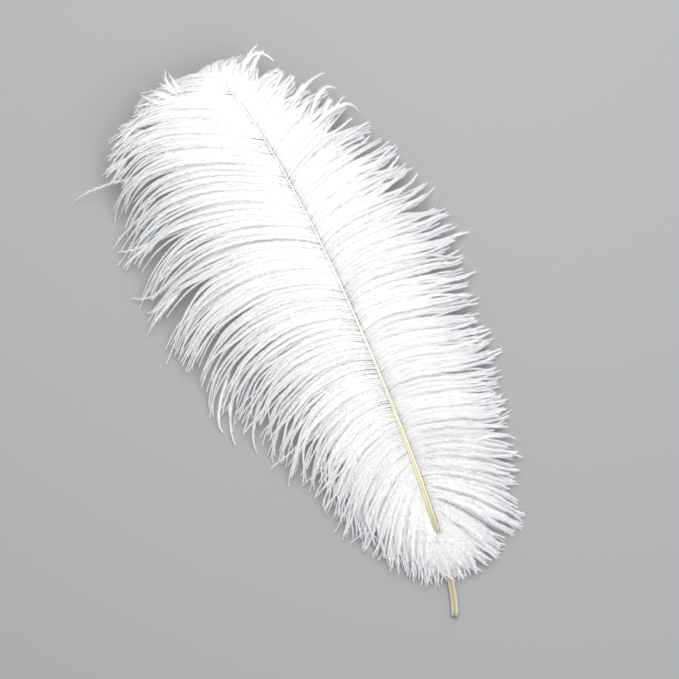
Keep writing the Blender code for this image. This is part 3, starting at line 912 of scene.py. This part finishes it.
class Nodes:
    """A material's node tree, with short ways to add and join nodes."""

    def __init__(self, name):
        self.material = bpy.data.materials.new(name)
        self.material.use_nodes = True
        self.tree = self.material.node_tree
        self.shader = self.tree.nodes["Principled BSDF"]
        self.output = self.tree.nodes["Material Output"]

    def add(self, kind, settings=None, **inputs):
        node = self.tree.nodes.new(kind)
        for name, value in (settings or {}).items():
            setattr(node, name, value)
        for name, value in inputs.items():
            self.put(node.inputs[name.replace("_", " ")], value)
        return node

    def put(self, socket, value):
        if isinstance(value, bpy.types.NodeSocket):
            self.tree.links.new(value, socket)
        else:
            socket.default_value = value

    def maths(self, operation, first, second=0.5):
        node = self.tree.nodes.new("ShaderNodeMath")
        node.operation = operation
        self.put(node.inputs[0], first)
        self.put(node.inputs[1], second)
        return node.outputs[0]

    def ramp(self, factor, stops):
        """A colour for each place, from (place, colour) pairs."""
        node = self.tree.nodes.new("ShaderNodeValToRGB")
        self.put(node.inputs["Fac"], factor)
        elements = node.color_ramp.elements
        while len(elements) < len(stops):
            elements.new(0.5)
        for element, (place, colour) in zip(elements, stops):
            element.position = place
            element.color = (*colour, 1)
        return node.outputs["Color"]

    def mix(self, factor, first, second, blend="MIX"):
        """Two colours mixed. The node's sockets go by number, because several share a name."""
        node = self.tree.nodes.new("ShaderNodeMix")
        node.data_type = "RGBA"
        node.blend_type = blend
        self.put(node.inputs[0], factor)
        self.put(node.inputs[6], first)
        self.put(node.inputs[7], second)
        return node.outputs[2]

    def tint(self, first, second):
        return self.mix(1.0, first, second, "MULTIPLY")

    def range(self, value, low, high):
        node = self.add("ShaderNodeMapRange", Value=value, To_Min=low, To_Max=high)
        return node.outputs["Result"]

    def uv(self):
        """The UV map, and its U and V apart."""
        both = self.add("ShaderNodeUVMap", {"uv_map": UV_NAME}).outputs["UV"]
        parts = self.add("ShaderNodeSeparateXYZ", Vector=both).outputs
        return both, parts["X"], parts["Y"]


def barb_material(name, barbs):
    """White down: a little warmer at the shaft and greyer and cooler at the tips with painted shade, with
    each barb a random tone of its own.
    """
    nodes = Nodes(name)
    _, along, strip = nodes.uv()
    # painted shade: the ramp greys and cools each barb towards its tip
    tone_and_tip_shade = nodes.ramp(along, BARB_TONE_AND_TIP_SHADE)
    barb = nodes.maths("FLOOR", nodes.maths("MULTIPLY", strip, float(barbs)))
    own = nodes.add("ShaderNodeTexWhiteNoise", {"noise_dimensions": "1D"}, W=barb).outputs["Value"]
    coloured = nodes.tint(tone_and_tip_shade, nodes.ramp(own, BARB_SHADES))
    place = nodes.add("ShaderNodeTexCoord").outputs["Object"]
    patch = nodes.add("ShaderNodeTexNoise", Vector=place, Scale=PATCH_SCALE, Detail=3.0).outputs["Fac"]
    colour = nodes.tint(coloured, nodes.ramp(patch, PATCH_SHADES))
    nodes.put(nodes.shader.inputs["Base Color"], colour)
    nodes.put(nodes.shader.inputs["Roughness"], nodes.range(own, *BARB_ROUGHNESS))
    nodes.shader.inputs["Sheen Weight"].default_value = 0.2
    nodes.shader.inputs["Sheen Roughness"].default_value = 0.4
    nodes.shader.inputs["Specular IOR Level"].default_value = 0.3
    through = nodes.add("ShaderNodeBsdfTranslucent", Color=colour)
    both = nodes.tree.nodes.new("ShaderNodeMixShader")
    both.inputs["Fac"].default_value = TRANSLUCENCE
    nodes.put(both.inputs[1], nodes.shader.outputs["BSDF"])
    nodes.put(both.inputs[2], through.outputs["BSDF"])
    nodes.put(nodes.output.inputs["Surface"], both.outputs["Shader"])
    return nodes.material


def shaft_material():
    """Satin horn: off-white at the quill, cream along the low shaft and nearly white towards the tip, with a
    darker line of painted shade along the groove on top, partly the horn's own mustard tone low down.
    """
    nodes = Nodes("horn")
    uv, along, around = nodes.uv()
    from_top = nodes.maths("ABSOLUTE", nodes.maths("SUBTRACT", around, TOP_OF_SHAFT))
    # painted shade: darker colour along the groove, with the horn's own mustard tone in it low down
    low, high = nodes.ramp(from_top, GROOVE_TONE_AND_SHADE_LOW), nodes.ramp(from_top, GROOVE_SHADE_HIGH)
    across = nodes.mix(nodes.ramp(along, LOW_TO_HIGH), low, high)
    stretched = nodes.add("ShaderNodeMapping", Vector=uv, Scale=STREAK_STRETCH).outputs["Vector"]
    streaks = nodes.add("ShaderNodeTexNoise", Vector=stretched, Scale=1.0, Detail=5.0, Roughness=0.6)
    streaks = streaks.outputs["Fac"]
    colour = nodes.tint(nodes.ramp(along, HORN_COLOURS), across)
    colour = nodes.tint(colour, nodes.ramp(streaks, STREAK_SHADES))
    nodes.put(nodes.shader.inputs["Base Color"], colour)
    nodes.put(nodes.shader.inputs["Roughness"], nodes.range(streaks, *HORN_ROUGHNESS))
    bump = nodes.add("ShaderNodeBump", Height=streaks, Strength=0.25, Distance=0.0002)
    nodes.put(nodes.shader.inputs["Normal"], bump.outputs["Normal"])
    return nodes.material


def add_vanes(origin):
    """Each side in as many pieces, from the quill to the tip, as keep to the limit on triangles."""
    for side, word in ((LEFT, "left"), (RIGHT, "right")):
        draw = np.random.default_rng(SEED + side)
        paths, downy, share = side_barbs(side, draw)
        triangles = np.cumsum(barbule_counts(paths, share) + STEM_TRIANGLES)
        pieces = math.ceil(triangles[-1] / MOST_TRIANGLES)
        group = np.minimum((triangles / triangles[-1] * pieces).astype(int), pieces - 1)
        for number in range(pieces):
            chosen = group == number
            name = f"vane_{word}_{number + 1}"
            parts = [stems(paths[chosen]), barbules(paths[chosen], downy[chosen], share[chosen], draw, side)]
            add_piece(name, parts, origin, barb_material(name, int(chosen.sum())))


def add_down(origin):
    draw = np.random.default_rng(TUFT_SEED)
    paths = tuft_paths(draw)
    parts = [stems(paths), barbules(paths, np.ones(TUFT_BARBS), np.ones(TUFT_BARBS), draw)]
    add_piece("quill_down", parts, origin, barb_material("quill_down", TUFT_BARBS))


def add_strays(origin):
    draw = np.random.default_rng(STRAY_SEED)
    paths = np.concatenate((stray_paths(), fringe_paths(draw)))
    count = len(paths)
    usual_radius = CORE_RADIUS[0][1]
    radii = np.array([stray[-1] for stray in STRAYS] + [usual_radius] * FRINGE_BARBS)
    fuzz = STRAY_FUZZ * (radii / radii.max()) ** 2
    parts = [stems(paths, radii / usual_radius), barbules(paths, np.zeros(count), fuzz, draw)]
    material = barb_material("stray_barbs", count)
    add_piece("stray_barbs", parts, origin, material, laid_straight=False)


def add_shaft(origin):
    add_piece("shaft", [shaft_tube()], origin, shaft_material())


def add_camera(origin):
    """Straight above the feather, turned so that it lies across the picture."""
    data = bpy.data.cameras.new("camera")
    data.lens = LENS
    data.clip_end = CLIP_END
    camera = bpy.data.objects.new("camera", data)
    bpy.context.scene.collection.objects.link(camera)
    x, y = origin[:2] + np.array(PICTURE_MIDDLE) * MM
    back = FRAME_WIDTH * LENS / data.sensor_width
    turn = Matrix.Rotation(-PICTURE_TURN, 4, "Z")
    camera.matrix_world = Matrix.Translation((x, y, MIDDLE_HEIGHT + back)) @ turn
    bpy.context.scene.camera = camera


def add_area_light(name, place, target, power):
    data = bpy.data.lights.new(name, "AREA")
    data.shape = "SQUARE"
    data.size = LIGHT_SIZE
    data.energy = power
    light = bpy.data.objects.new(name, data)
    light.location = place
    light.rotation_mode = "QUATERNION"
    light.rotation_quaternion = (Vector(target) - Vector(place)).to_track_quat("-Z", "Y")
    bpy.context.scene.collection.objects.link(light)


def add_floor():
    bpy.ops.mesh.primitive_plane_add(size=FLOOR_SIZE)
    floor = bpy.context.object
    floor.name = "floor"
    material = bpy.data.materials.new("floor")
    material.use_nodes = True
    shader = material.node_tree.nodes["Principled BSDF"]
    shader.inputs["Base Color"].default_value = FLOOR_COLOUR
    shader.inputs["Roughness"].default_value = FLOOR_ROUGHNESS
    floor.data.materials.append(material)


def add_stage():
    add_floor()
    world = bpy.data.worlds.new("studio")
    world.use_nodes = True
    sky = world.node_tree.nodes["Background"]
    sky.inputs["Color"].default_value = SKY_COLOUR
    sky.inputs["Strength"].default_value = SKY_STRENGTH
    bpy.context.scene.world = world
    for light in LIGHTS:
        add_area_light(*light)
    bpy.context.scene.view_settings.view_transform = "Standard"


def main():
    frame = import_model()
    origin = quill_end(frame)
    add_vanes(origin)
    add_down(origin)
    add_strays(origin)
    add_shaft(origin)
    add_camera(origin)
    add_stage()


main()
